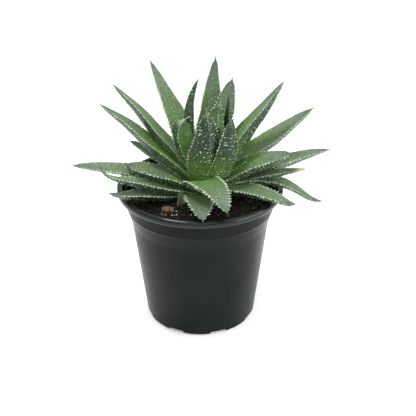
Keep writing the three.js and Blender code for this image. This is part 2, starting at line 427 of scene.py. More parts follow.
@dataclass(frozen=True)
class LeafSkin:
    """Waxy leaf skin: yellow-green at the base, grey-green outwards, darker underneath partly as painted
    shade, dry at the tip.
    """

    name: str = "leaf_skin"
    base: tuple[float, float, float] = (0.125, 0.25, 0.035)
    base_old: tuple[float, float, float] = (0.098, 0.225, 0.02)
    # painted light: the heart leaves' inner green is their own bright young green, brightened further to
    # stand in for light shining through the shaded heart
    young_with_painted_light: tuple[float, float, float] = (0.185, 0.4, 0.1)
    middle: tuple[float, float, float] = (0.118, 0.188, 0.082)
    end: tuple[float, float, float] = (0.138, 0.19, 0.125)
    point: tuple[float, float, float] = (0.055, 0.08, 0.058)
    # underside colour: the leaf's own darker green underneath, darkened further as painted shade for faces
    # turned away from the light
    under: tuple[float, float, float] = (0.007, 0.028, 0.008)
    under_old: tuple[float, float, float] = (0.045, 0.088, 0.05)
    margin: tuple[float, float, float] = (0.34, 0.46, 0.3)
    dry: tuple[float, float, float] = (0.42, 0.36, 0.12)
    awn: tuple[float, float, float] = (0.045, 0.045, 0.042)
    awn_pale: tuple[float, float, float] = (0.5, 0.62, 0.42)

    def build(self) -> bpy.types.Material:
        """Makes the material."""
        material, kit, shader = new_material(self.name)
        names = ("along", "across", "under", "dry", "painted_shade", "tip", "pale", "age")
        along, across, under, dryness, painted_shade, tip, pale, age = (kit.value(n) for n in names)
        place = kit.place()
        wander = kit.noise(place, 190.0, 3.0)
        reach = kit.math("ADD", along, kit.math("MULTIPLY", kit.math("SUBTRACT", wander, 0.5), 0.22))
        # young leaves take the inner green that carries painted light
        old = kit.mix(kit.span(age, 0.0, 0.35), self.young_with_painted_light, self.middle)
        faded = kit.math("ADD", reach, kit.span(age, 0.6, 1.0, 0.0, 0.3))
        foot = kit.mix(kit.span(age, 0.0, 0.3), self.base, self.base_old)
        upper = kit.mix(kit.span(faded, 0.3, 0.78), foot, old)
        upper = kit.mix(kit.span(reach, 0.55, 0.95), upper, self.end)
        # young undersides take the darkest colour, partly their own green and partly painted shade
        lower = kit.mix(age, self.under, self.under_old)
        drawn = kit.math("ADD", reach, kit.math("MULTIPLY", age, 0.14))
        lower = kit.mix(kit.span(drawn, 0.1, 0.6, 0.95, 0.0), lower, self.base)
        # painted shade: the per-leaf value mixed in here darkens the upper face towards the underside
        # colour, for leaves that sit in shadow
        upper = kit.mix(painted_shade, upper, lower)
        skin = kit.mix(under, upper, lower)
        stripes = kit.node("ShaderNodeCombineXYZ")
        kit.link(kit.math("MULTIPLY", across, 6.0), stripes.inputs[0])
        kit.link(kit.math("MULTIPLY", along, 2.6), stripes.inputs[1])
        kit.link(under, stripes.inputs[2])
        streak = kit.noise(stripes.outputs[0], 3.0, 4.0)
        worn = kit.math("MULTIPLY", kit.span(streak, 0.4, 0.8, 0.0, 0.45),
                        kit.span(age, 0.0, 0.6, 0.08, 1.0))
        skin = kit.mix(worn, skin, self.end)
        cloud = kit.noise(place, 420.0, 3.0, 0.6)
        skin = kit.mix(kit.span(cloud, 0.35, 0.7, 0.35, 0.0), skin, self.under)
        fleck = kit.noise(place, 1500.0, 2.0, 0.6)
        waxy = kit.math("MULTIPLY", kit.span(fleck, 0.56, 0.68, 0.0, 0.45),
                        kit.span(age, 0.0, 0.5, 0.45, 1.0))
        skin = kit.mix(waxy, skin, self.margin)
        rim = kit.math("MULTIPLY", kit.span(kit.math("ABSOLUTE", across), 0.97, 1.0),
                       kit.span(age, 0.0, 0.6, 0.3, 0.85))
        patchy = kit.span(kit.noise(place, 330.0, 2.0), 0.35, 0.65, 0.1, 0.9)
        skin = kit.mix(kit.math("MULTIPLY", rim, patchy), skin, self.margin)
        skin = kit.mix(kit.span(reach, 0.76, 1.0, 0.0, 0.7), skin, self.point)
        skin = kit.mix(dryness, skin, self.dry)
        point = kit.mix(pale, self.awn, self.awn_pale)
        skin = kit.mix(tip, skin, point)
        kit.link(skin, shader.inputs["Base Color"])
        kit.link(kit.span(cloud, 0.2, 0.8, 0.36, 0.54), shader.inputs["Roughness"])
        grain = kit.math("ADD", kit.math("MULTIPLY", fleck, 0.7), kit.math("MULTIPLY", cloud, 0.8))
        kit.link(kit.bump(grain, 0.45, 0.0004), shader.inputs["Normal"])
        shader.inputs["Specular IOR Level"].default_value = 0.35
        return material


@dataclass(frozen=True)
class ToothSkin:
    """Hard white teeth and bumps, faintly green at the foot."""

    name: str = "tooth_skin"
    color: tuple[float, float, float] = (0.27, 0.38, 0.24)
    tip: tuple[float, float, float] = (0.6, 0.7, 0.55)

    def build(self) -> bpy.types.Material:
        """Makes the material."""
        material, kit, shader = new_material(self.name)
        tint = kit.grain(700.0, 0.0, 0.0002).outputs["Value"]
        kit.link(kit.mix(kit.span(tint, 0.35, 0.65), self.color, self.tip), shader.inputs["Base Color"])
        shader.inputs["Roughness"].default_value = 0.42
        return material


@dataclass(frozen=True)
class PotPlastic:
    """Black moulded plastic with a thin film of dust and faint flow marks."""

    name: str = "pot_plastic"
    color: tuple[float, float, float] = (0.0034, 0.0058, 0.0057)
    dust: tuple[float, float, float] = (0.016, 0.022, 0.021)
    lip: float = 0.0866
    gloss: float = 0.42

    def build(self) -> bpy.types.Material:
        """Makes the material."""
        material, kit, shader = new_material(self.name)
        place = kit.place()
        cloud = kit.noise(place, 45.0, 5.0, 0.6)
        grain = kit.grain(900.0, 0.12, 0.0002)
        film = kit.math("MULTIPLY", kit.span(cloud, 0.35, 0.8),
                        kit.span(grain.outputs["Value"], 0.3, 0.7, 0.5, 1.0))
        dusty = kit.mix(kit.math("MULTIPLY", film, 0.35), self.color, self.dust)
        kit.link(dusty, shader.inputs["Base Color"])
        split = kit.node("ShaderNodeSeparateXYZ")
        kit.link(place, split.inputs[0])
        polish = kit.span(split.outputs["Z"], self.lip, self.lip + 0.001, 0.0, 0.15)
        dull = kit.span(film, 0.0, 1.0, 0.29, 0.42)
        kit.link(kit.math("SUBTRACT", dull, polish), shader.inputs["Roughness"])
        kit.link(grain.outputs["Normal"], shader.inputs["Normal"])
        kit.link(kit.math("MULTIPLY", polish, self.gloss / 0.15), shader.inputs["Coat Weight"])
        shader.inputs["Coat Roughness"].default_value = 0.13
        shader.inputs["Specular IOR Level"].default_value = 0.11
        return material


@dataclass(frozen=True)
class PeatMix:
    """Dark damp peat with lighter fibres, darkened further as painted shade."""

    name: str = "peat_mix"
    # painted shade: these colours are the peat's own dark brown, darkened further for the shade under the
    # leaves
    dark: tuple[float, float, float] = (0.0025, 0.0022, 0.002)
    light: tuple[float, float, float] = (0.018, 0.0145, 0.011)

    def build(self) -> bpy.types.Material:
        """Makes the material."""
        material, kit, shader = new_material(self.name)
        grit = kit.grain(1100.0, 0.9, 0.0014)
        speck = kit.span(grit.outputs["Value"], 0.45, 0.8)
        kit.link(kit.mix(speck, self.dark, self.light), shader.inputs["Base Color"])
        shader.inputs["Roughness"].default_value = 0.9
        shader.inputs["Specular IOR Level"].default_value = 0.2
        kit.link(grit.outputs["Normal"], shader.inputs["Normal"])
        return material


@dataclass(frozen=True)
class PlainGrain:
    """A matt natural finish of two colours broken up by noise."""

    name: str
    first: tuple[float, float, float]
    second: tuple[float, float, float]
    scale: float = 900.0
    roughness: float = 0.85
    depth: float = 0.0006

    def build(self) -> bpy.types.Material:
        """Makes the material."""
        material, kit, shader = new_material(self.name)
        grain = kit.grain(self.scale, 0.6, self.depth)
        shift = kit.span(grain.outputs["Value"], 0.3, 0.7)
        kit.link(kit.mix(shift, self.first, self.second), shader.inputs["Base Color"])
        shader.inputs["Roughness"].default_value = self.roughness
        shader.inputs["Specular IOR Level"].default_value = 0.25
        kit.link(grain.outputs["Normal"], shader.inputs["Normal"])
        return material


# ---------------------------------------------------------------- leaves


class Ring(Enum):
    """A ring of leaves: seat radius, seat height, fullness of the outline, and age from 0 to 1."""

    OUTER = (7.0, 89.0, 2.2, 1.0)
    MIDDLE = (5.2, 94.0, 1.5, 0.6)
    INNER = (4.2, 95.0, 1.6, 0.3)
    HEART = (3.4, 96.0, 1.8, 0.0)


class Face(Enum):
    """The two broad faces of a leaf."""

    UPPER = 1.0
    LOWER = -1.0


@dataclass
class Leaf:
    """One leaf, sized as in the part's source but not trimmed, with its teeth, bumps and awn.

    The midline starts at the seat on the stem and runs along a direction whose slope goes evenly
    from rise to finish, plus the tip's curl. The blade's section is a shallow dish above and a
    keel below, and the half-width swells, then tapers to the awn.
    """

    name: str
    ring: Ring
    azimuth: float
    rise: float
    finish: float
    length: float
    width: float
    curl: float = 0.0
    curl_start: float = 0.78
    roll: float = 0.0
    dish: float = 0.15
    seat_radius: float | None = None
    seat_height: float | None = None
    seat_azimuth: float | None = None
    fullness: float | None = None
    awn: float = 4.5
    pale_awn: float = 0.0
    # painted shade: how far the upper face is darkened towards the underside colour, for a leaf that sits
    # in shadow
    painted_shade: float = 0.0
    dryness: float = 0.0
    bumps_under: float = 1.0
    bumps_upper: float = 0.3

    STATIONS = 104
    WIDEST_AT = 0.28
    BASE_SHARE = 0.8
    KEEL = 0.7
    MARGIN_HALF = 0.25
    AWN_HALF = 0.3
    TIP_HALF = 0.06
    SWAY = 0.006
    ACROSS = 13
    MARGIN_UNDER = 0.35
    TOOTH_PITCH = 2.2
    TOOTH_GAP = 0.1
    MARGIN_TEETH = (0.07, 0.86)
    KEEL_TEETH = (0.5, 0.42)
    FULL_SIZE_WIDTH = 13.0
    BUMP_PITCH = 2.1
    BUMPY = (0.1, 0.82)
    BUMP_LEAST_HALF = 0.8
    UPPER_DENSITY = 1.5
    UPPER_BUMP = 0.7
    HEART_BUMP = 0.92
    HEART_TOOTH = 0.85

    def _seat(self) -> np.ndarray:
        """The start of the midline."""
        radius, height, *_ = self.ring.value
        radius = radius if self.seat_radius is None else self.seat_radius
        height = height if self.seat_height is None else self.seat_height
        turn = math.radians(self.azimuth if self.seat_azimuth is None else self.seat_azimuth)
        return np.array([STEM_X + radius * math.cos(turn), radius * math.sin(turn), height])

    def _trace(self, rng: np.random.Generator) -> None:
        """Works out the midline and its frame at closely spaced stations.

        A slow seeded sway of a few tenths of a millimetre, zero at both ends, is added to it.
        """
        self.s = np.linspace(0.0, 1.0, self.STATIONS * 3 + 1)
        curled = np.maximum(0.0, (self.s - self.curl_start) / (1 - self.curl_start)) ** 1.5
        slope = np.radians(self.rise + (self.finish - self.rise) * self.s + self.curl * curled)
        heading = math.radians(self.azimuth)
        along = np.stack([np.cos(slope) * math.cos(heading), np.cos(slope) * math.sin(heading),
                          np.sin(slope)], -1)
        level = np.broadcast_to(np.array([-math.sin(heading), math.cos(heading), 0.0]), along.shape)
        up = np.cross(along, level)
        roll = math.radians(self.roll)
        step = self.length * (self.s[1] - self.s[0])
        middle = (along[1:] + along[:-1]) / 2.0
        self.along = along
        self.side = level * math.cos(roll) + up * math.sin(roll)
        self.normal = up * math.cos(roll) - level * math.sin(roll)
        size = self.SWAY * self.length * np.sin(math.pi * self.s)
        sway, lift = (size * np.sin(2 * math.pi * (self.s * rng.uniform(1.2, 2.0) + rng.random()))
                      for _ in range(2))
        self.mid = self._seat() + np.concatenate([np.zeros((1, 3)), np.cumsum(middle, 0) * step])
        self.mid = self.mid + self.side * sway[:, None] + self.normal * lift[:, None]
        self.phase = rng.uniform(0, 2 * math.pi, 3)

    def _pick(self, table: np.ndarray, s: np.ndarray) -> np.ndarray:
        """A traced table read at any stations."""
        return np.stack([np.interp(s, self.s, table[:, axis]) for axis in range(3)], -1)

    def _place(self, s: np.ndarray, out: np.ndarray, lift: np.ndarray) -> np.ndarray:
        """Points beside and above the midline, by distances out to the side and up, in millimetres."""
        return (self._pick(self.mid, s) + self._pick(self.side, s) * out[..., None]
                + self._pick(self.normal, s) * lift[..., None])

    def _edge(self, half: np.ndarray) -> np.ndarray:
        """Half the thickness of the margin, thinner where the leaf is narrow."""
        return np.minimum(self.MARGIN_HALF, half * 0.6)

    def half_width(self, s: np.ndarray) -> np.ndarray:
        """Half-width: a sine swelling up to the widest station, a power-law taper, then the thin awn."""
        fullness = self.ring.value[2] if self.fullness is None else self.fullness
        rising = np.sin(np.minimum(s / self.WIDEST_AT, 1) * math.pi / 2)
        swell = self.BASE_SHARE + (1 - self.BASE_SHARE) * rising
        taper = 1 - np.clip((s - self.WIDEST_AT) / (1 - self.WIDEST_AT), 0, 1) ** fullness
        uneven = 1 + 0.018 * np.sin(23 * s + self.phase[0]) + 0.014 * np.sin(41 * s + self.phase[1])
        blade = self.width / 2 * np.where(s < self.WIDEST_AT, swell, taper) * uneven
        end = np.clip((1.0 - s) * self.length / self.awn, 0, 1)
        awn = self.TIP_HALF + (self.AWN_HALF - self.TIP_HALF) * end
        join = smooth_step(0.55, 1.5, (1.0 - s) * self.length / self.awn)
        return np.maximum(blade * join + awn * (1 - join), awn)

    def surface(self, s: np.ndarray, t: np.ndarray, face: Face) -> np.ndarray:
        """Points on a face.

        Height over the midline is dish * w * t^2 + e on the upper face and
        dish * w * t^2 - keel * w * (1 - |t|^1.5) - e on the lower one, where w is the half-width
        and e half the thickness of the margin. Two slow waves roughen the lower face.

        Args:
            s: stations along the leaf, 0 to 1.
            t: places across, -1 to 1.
            face: which face.

        Returns:
            (..., 3) points in millimetres.
        """
        half = self.half_width(s)
        height = self.dish * half * t * t + self._edge(half) * face.value
        ripple = np.sin(31 * s + 5 * t + self.phase[2]) + np.sin(17 * s - 7 * t + self.phase[0])
        height = height + 0.012 * half * ripple * (1 - t * t)
        if face is Face.LOWER:
            height = height - self.KEEL * half * (1 - np.abs(t) ** 1.5)
        return self._place(s, t * half, height)

    def _facing(self, s: np.ndarray, t: np.ndarray, face: Face) -> np.ndarray:
        """Outward directions of a face, from small steps along and across."""
        ds, dt = 0.004, 0.02
        a = self.surface(np.minimum(s + ds, 1), t, face) - self.surface(s - ds, t, face)
        b = self.surface(s, np.minimum(t + dt, 1), face) - self.surface(s, np.maximum(t - dt, -1), face)
        return unit(np.cross(a, b)) * face.value

    def _values(self, along: np.ndarray) -> dict[str, np.ndarray]:
        """The point values that hold all over a leaf, and those that depend on the station only."""
        tip = smooth_step(-0.4, 0.9, (along - 1) * self.length / self.awn + 1)
        return {
            "along": along, "painted_shade": np.full(len(along), self.painted_shade), "tip": tip,
            "pale": np.full(len(along), self.pale_awn), "age": np.full(len(along), self.ring.value[3]),
            "dry": self.dryness * smooth_step(0.84, 0.93, along),
        }

    def _blade(self, builder: MeshBuilder) -> None:
        """Adds the blade and awn: one closed skin, upper face, margin, lower face, margin."""
        s = np.linspace(0.0, 1.0, self.STATIONS)
        t = np.sin(np.linspace(-1, 1, self.ACROSS) * math.pi / 2)
        ss, tt = np.meshgrid(s, t, indexing="ij")
        upper = self.surface(ss, tt, Face.UPPER)
        lower = self.surface(ss, tt, Face.LOWER)[:, ::-1]
        half = self.half_width(s)
        out = half + self._edge(half)
        left = self._place(s, out, self.dish * half)
        right = self._place(s, -out, self.dish * half)
        rings = np.concatenate([upper, left[:, None], lower, right[:, None]], 1)[:, ::-1]
        points, faces = closed_skin(rings, self.mid[0], self.mid[-1])
        around = rings.shape[1]
        across = np.concatenate([t, [1.0], t[::-1], [-1.0]])[::-1]
        edge = [self.MARGIN_UNDER]
        under = np.concatenate([np.zeros(self.ACROSS), edge, np.ones(self.ACROSS), edge])[::-1]
        station = np.concatenate([np.repeat(s, around), [0.0, 1.0]])
        builder.add(
            points, faces, 0, across=np.concatenate([np.tile(across, len(s)), [0, 0]]),
            under=np.concatenate([np.tile(under, len(s)), [0.5, 0.5]]), **self._values(station))

    def _teeth(self, builder: MeshBuilder, rng: np.random.Generator) -> None:
        """Adds soft teeth along both margins and along the outer part of the keel."""
        scale = min(1.0, self.width / self.FULL_SIZE_WIDTH)
        scale *= self.HEART_TOOTH if self.ring is Ring.HEART else 1.0
        start, share = self.MARGIN_TEETH
        count = int(self.length * share / self.TOOTH_PITCH)
        for sign in (-1.0, 1.0):
            s = (np.arange(count) + 0.5 + rng.uniform(-0.22, 0.22, count)) / count * share + start
            half = self.half_width(s)
            out = self._pick(self.side, s) * sign
            at = self._place(s, sign * (half + self.TOOTH_GAP), self.dish * half)
            size = np.interp(s, [0.05, 0.2, 0.7, 0.95], [0.55, 1.0, 0.9, 0.5])
            size = size * rng.uniform(0.8, 1.2, count) * scale
            up = unit(out + 0.25 * self._pick(self.along, s) + rng.normal(0, 0.12, (count, 3)))
            builder.add(*studs(at, up, self._pick(self.along, s), 0.78 * size, 0.38 * size, 1.7 * size,
                               5, 0.5, 0.55), TOOTH_SLOT)
        start, share = self.KEEL_TEETH
        count = int(self.length * share / self.TOOTH_PITCH)
        s = (np.arange(count) + 0.5 + rng.uniform(-0.25, 0.25, count)) / count * share + start
        at = self.surface(s, np.zeros(count), Face.LOWER)
        size = rng.uniform(0.6, 0.95, count) * scale
        up = unit(self._facing(s, np.zeros(count), Face.LOWER) + 0.3 * self._pick(self.along, s))
        builder.add(*studs(at, up, self._pick(self.along, s), 0.6 * size, 0.32 * size, 0.95 * size,
                           5, 0.4, 0.55), TOOTH_SLOT)

    def _bumps(self, builder: MeshBuilder, rng: np.random.Generator, face: Face, density: float) -> None:
        """Adds white bumps in loose cross rows on a face, wider than long."""
        lower = face is Face.LOWER
        reach = (1 + self.KEEL * 0.7) if lower else 1.0
        start, share = self.BUMPY
        rows = max(2, int(self.length * share / self.BUMP_PITCH))
        columns = max(1, int(self.width * reach / self.BUMP_PITCH))
        s = np.repeat((np.arange(rows) + rng.uniform(-0.3, 0.3, rows)) / rows * share + start, columns)
        t = np.tile(np.arange(columns), rows) + 0.5 + rng.uniform(-0.5, 0.5, rows * columns)
        t = t / columns * 1.8 - 0.9
        half = self.half_width(s)
        room = half / (self.width / 2)
        patch = 0.8 + 0.4 * np.sin(19 * s + self.phase[1]) * np.sin(3 * t + self.phase[2])
        density *= 1.0 if lower else self.UPPER_DENSITY
        keep = (rng.random(len(s)) < density * room * patch) & (half > self.BUMP_LEAST_HALF)
        s, t = s[keep] + rng.uniform(-0.011, 0.011, keep.sum()), t[keep]
        if not len(s):
            return
        scale = 1.0 if lower else self.UPPER_BUMP
        scale *= self.HEART_BUMP if self.ring is Ring.HEART else 1.0
        size = (0.17 + 0.36 * rng.random(len(s)) ** 2.0) * scale
        stretch = 1.0 + 1.1 * rng.random(len(s)) ** 2
        up = self._facing(s, t, face)
        builder.add(*studs(self.surface(s, t, face), up, self._pick(self.side, s), stretch * size, size,
                           0.7 * size, 6, 0.0, 0.6), TOOTH_SLOT)

    def build(self, materials: list[bpy.types.Material], seed: int) -> bpy.types.Object:
        """Makes the leaf's mesh object.

        Args:
            materials: leaf skin and tooth skin.
            seed: seed of this leaf's own irregularities.

        Returns:
            The leaf object.
        """
        rng = np.random.default_rng(seed)
        self._trace(rng)
        builder = MeshBuilder(("along", "across", "under", "dry", "painted_shade", "tip", "pale", "age"))
        self._blade(builder)
        self._teeth(builder, rng)
        self._bumps(builder, rng, Face.LOWER, self.bumps_under)
        self._bumps(builder, rng, Face.UPPER, self.bumps_upper)
        return builder.build(f"{self.name}_grown", materials)


# the per-leaf shade values in this table are painted shade: they darken the upper faces of leaves that sit
# in shadow
LEAVES: tuple[Leaf, ...] = (
    Leaf("heart_leaf_center", Ring.HEART, 345, 72, 88, 43, 9, seat_radius=1, awn=7, pale_awn=1.0, painted_shade=0.5,
         bumps_upper=0.6),
    Leaf("heart_leaf_back", Ring.HEART, 42, 78, 79, 50, 17, fullness=2.6, dish=0.4, roll=8, awn=6,
         pale_awn=0.7, painted_shade=0.15, bumps_upper=0.8),
    Leaf("heart_leaf_back_right", Ring.HEART, 22, 62, 92, 56, 12, awn=4, painted_shade=0.85, bumps_under=0.9),
    Leaf("heart_leaf_front", Ring.HEART, 287, 66, 93, 53, 20, seat_radius=4, seat_height=95,
         seat_azimuth=245, awn=5, pale_awn=0.4, bumps_under=1.05, bumps_upper=0.6),
    Leaf("heart_leaf_right", Ring.HEART, 330, 62, 90, 49, 22, seat_radius=6, seat_height=95, curl=-65,
         awn=5, bumps_under=1.05, bumps_upper=0.6),
    Leaf("heart_leaf_left", Ring.HEART, 176, 40, 88, 48, 19, seat_radius=3.6, seat_height=96.6,
         seat_azimuth=15, fullness=4.4, curl=88, curl_start=0.66, roll=-23, dish=0.3, awn=7, pale_awn=1.0,
         bumps_under=1.2, bumps_upper=0.9),
    Leaf("inner_leaf_left", Ring.INNER, 178, 68, 116, 65, 12.5, seat_radius=13, seat_height=95,
         seat_azimuth=113, roll=35, bumps_under=1.1),
    Leaf("inner_leaf_back", Ring.INNER, 80, 66, 58, 77, 17, painted_shade=0.42),
    Leaf("inner_leaf_back_right", Ring.INNER, 57, 66, 62, 65, 16, fullness=3, bumps_upper=0.35),
    Leaf("inner_leaf_right", Ring.INNER, 18, 56, 46, 77, 22, roll=-14, bumps_under=1.1, bumps_upper=0.45),
    Leaf("middle_leaf_back_left", Ring.MIDDLE, 124, 50, 41, 87, 16.5, bumps_upper=0.4, painted_shade=0.14),
    Leaf("middle_leaf_left_high", Ring.MIDDLE, 146, 42, 30, 85, 17, roll=24, fullness=1.7, bumps_upper=0.4),
    Leaf("middle_leaf_left_low", Ring.MIDDLE, 160, 36, 28, 80, 17, roll=10, fullness=1.7, bumps_upper=0.5),
    Leaf("middle_leaf_right", Ring.MIDDLE, 18, 31, 30, 80, 18.5, fullness=2.2, bumps_upper=0.35),
    Leaf("middle_leaf_right_low", Ring.MIDDLE, 348, 36, 16, 57, 16, seat_height=93, roll=12, fullness=2.8),
    Leaf("front_leaf", Ring.MIDDLE, 292, 40, -30, 59.5, 18.5, seat_radius=9.5, seat_azimuth=222,
         fullness=2.1, painted_shade=0.16, bumps_upper=0.45),
    Leaf("outer_leaf_left_upper", Ring.OUTER, 187, 28, 9, 48, 19, seat_height=91, curl=70, fullness=3.4,
         bumps_upper=0.5),
    Leaf("outer_leaf_left_long", Ring.OUTER, 181, 22, 0, 80, 12, roll=-10, fullness=3, bumps_upper=0.5),
    Leaf("outer_leaf_left_lower", Ring.OUTER, 203, 22, 16, 70, 15, seat_height=87, curl=70, curl_start=0.7,
         fullness=1),
    Leaf("outer_leaf_on_rim", Ring.OUTER, 207, 8, 14, 61, 12, seat_height=87, curl=25),
    Leaf("outer_leaf_left_short", Ring.OUTER, 155, 33, 14, 54, 12, seat_height=90),
    Leaf("outer_leaf_right", Ring.OUTER, 3, 27, 8, 77, 16, seat_height=90),
    Leaf("outer_leaf_dry_tip", Ring.OUTER, 348, 29, 9, 61, 11, seat_height=88, awn=3, dryness=1.0),
    Leaf("outer_leaf_right_drooping", Ring.OUTER, 349, 36, -52, 74, 11.5, curl=70),
    Leaf("outer_leaf_front_right", Ring.OUTER, 325, 26, -20, 62, 14, curl=60),
    Leaf("outer_leaf_front", Ring.OUTER, 276, 24, -4, 50, 14.5, seat_radius=10, seat_height=87,
         seat_azimuth=235, curl=-45, fullness=3),
    Leaf("back_leaf_a", Ring.OUTER, 36, 14, 2, 45, 14),
    Leaf("back_leaf_b", Ring.OUTER, 60, 18, 0, 58, 16, seat_height=90),
    Leaf("back_leaf_c", Ring.OUTER, 82, 16, 0, 56, 17, seat_height=90),
    Leaf("back_leaf_d", Ring.OUTER, 104, 18, 0, 58, 16, seat_height=90),
    Leaf("back_leaf_e", Ring.OUTER, 126, 15, 0, 54, 15),
    Leaf("pup_leaf", Ring.OUTER, 100, 84, 80, 13, 4.4, seat_azimuth=236, seat_radius=25.5,
         seat_height=SOIL_LEVEL - 1.0, fullness=1.2, awn=1.5, bumps_under=0.3, bumps_upper=0.1),
)


@dataclass
class Rosette:
    """All leaves of the plant, with the pup leaf beside it."""

    leaves: tuple[Leaf, ...] = LEAVES
    seed: int = 40

    def build(self) -> None:
        """Makes every leaf, each in place of its plain solid."""
        skin, tooth = LeafSkin().build(), ToothSkin().build()
        for number, leaf in enumerate(self.leaves):
            piece = leaf.build([skin, tooth], self.seed + number)
            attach(piece, "root")
            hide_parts(leaf.name)
            LOG.info("%s: %d faces", piece.name, len(piece.data.polygons))


# ---------------------------------------------------------------- pot and soil


@dataclass
class Pot:
    """The turned pot: one closed profile carried round the axis, with drain slots at the bottom edge."""

    height: float = POT_HEIGHT
    rim_radius: float = RIM_RADIUS
    rim_drop: float = 4.6
    collar_radius: float = 46.4
    collar_bottom: float = 77.0
    shoulder_radius: float = 43.7
    shoulder_bottom: float = 68.0
    base_radius: float = 36.0
    wall: float = 1.3
    floor: float = 1.6
    slots: int = 8
    slot_width: float = 11.0
    slot_height: float = 2.2
    first_slot: float = -71.0
    sides: int = 288

    def _profile(self) -> np.ndarray:
        """Radius and height pairs from the underside's centre round the outside to the floor's centre."""
        base, rim, top = self.base_radius, self.rim_radius, self.height
        shoulder, ledge = self.shoulder_radius, self.shoulder_bottom
        collar, band = self.collar_radius, self.collar_bottom
        lip = top - self.rim_drop
        corners = [
            (0.0, 0.0), (base - 6.0, 0.0), (base - 1.4, 0.0), (base - 0.5, 0.35), (base - 0.1, 1.1),
            (base + 0.02, 2.2), (base + 0.15, 3.4), (shoulder, ledge), (shoulder + 0.35, ledge + 1.3),
            (collar - 0.5, band - 1.0), (collar - 0.05, band), (collar + 0.15, band + 0.5),
            (collar + 0.05, band + 1.1), (collar + 0.4, lip - 0.4), (collar + 0.9, lip),
            (rim - 1.2, lip + 0.1), (rim - 0.4, lip + 0.5), (rim - 0.05, lip + 1.4), (rim, top - 1.9),
            (rim - 0.35, top - 0.8), (rim - 1.2, top - 0.15), (rim - 2.4, top), (rim - 3.4, top - 0.5),
            (rim - 4.2, top - 1.6), (rim - 5.0, top - 3.0), (collar - self.wall + 0.2, lip - 0.6),
            (collar - self.wall - 0.2, band + 1.0), (shoulder - self.wall, ledge + 0.4),
            (base - self.wall, self.floor + 1.2), (base - self.wall - 1.0, self.floor), (0.0, self.floor),
        ]
        return np.array(corners)

    def _rounded(self, rounds: int, share: float) -> np.ndarray:
        """The profile with its corners cut off each round, at a share in from each end."""
        line = self._profile()
        for _ in range(rounds):
            a, b = line[:-1], line[1:]
            cut = np.stack([a * (1 - share) + b * share, a * share + b * (1 - share)], 1).reshape(-1, 2)
            line = np.concatenate([line[:1], cut, line[-1:]])
        return line

    def build(self) -> None:
        """Makes the pot in place of its faceted solid."""
        line = self._rounded(2, 0.2)
        body = line[1:-1]
        angle = 2 * math.pi * np.arange(self.sides) / self.sides
        radius = np.broadcast_to(body[:, :1], (len(body), self.sides)).copy()
        height = np.broadcast_to(body[:, 1:], radius.shape).copy()
        pitch = 360.0 / self.slots
        offset = (np.degrees(angle) - self.first_slot + pitch / 2) % pitch - pitch / 2
        half = math.degrees(self.slot_width / 2 / self.base_radius)
        inside = 1.0 - smooth_step(half - 0.9, half + 0.3, np.abs(offset))
        outer = np.arange(len(body))[:, None] < np.argmax(body[:, 1])
        near = smooth_step(self.base_radius - 5.2, self.base_radius - 4.4, radius)
        raised = np.maximum(height, self.slot_height * inside[None] * near)
        height = np.where(outer, raised, height)
        floor_lift = (self.slot_height - self.floor + 1.4) * inside[None] * smooth_step(
            self.base_radius - 7.5, self.base_radius - 6.0, radius)
        height = np.where(~outer & (height < self.floor + 1.3), height + floor_lift, height)
        rings = np.stack([radius * np.cos(angle), radius * np.sin(angle), height], -1)
        points, faces = closed_skin(rings, np.array([0, 0, line[0, 1]]), np.array([0, 0, line[-1, 1]]))
        piece = one_skin("nursery_pot", points, faces, PotPlastic().build())
        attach(piece, "root")
        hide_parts("pot")
        LOG.info("%s: %d faces", piece.name, len(piece.data.polygons))


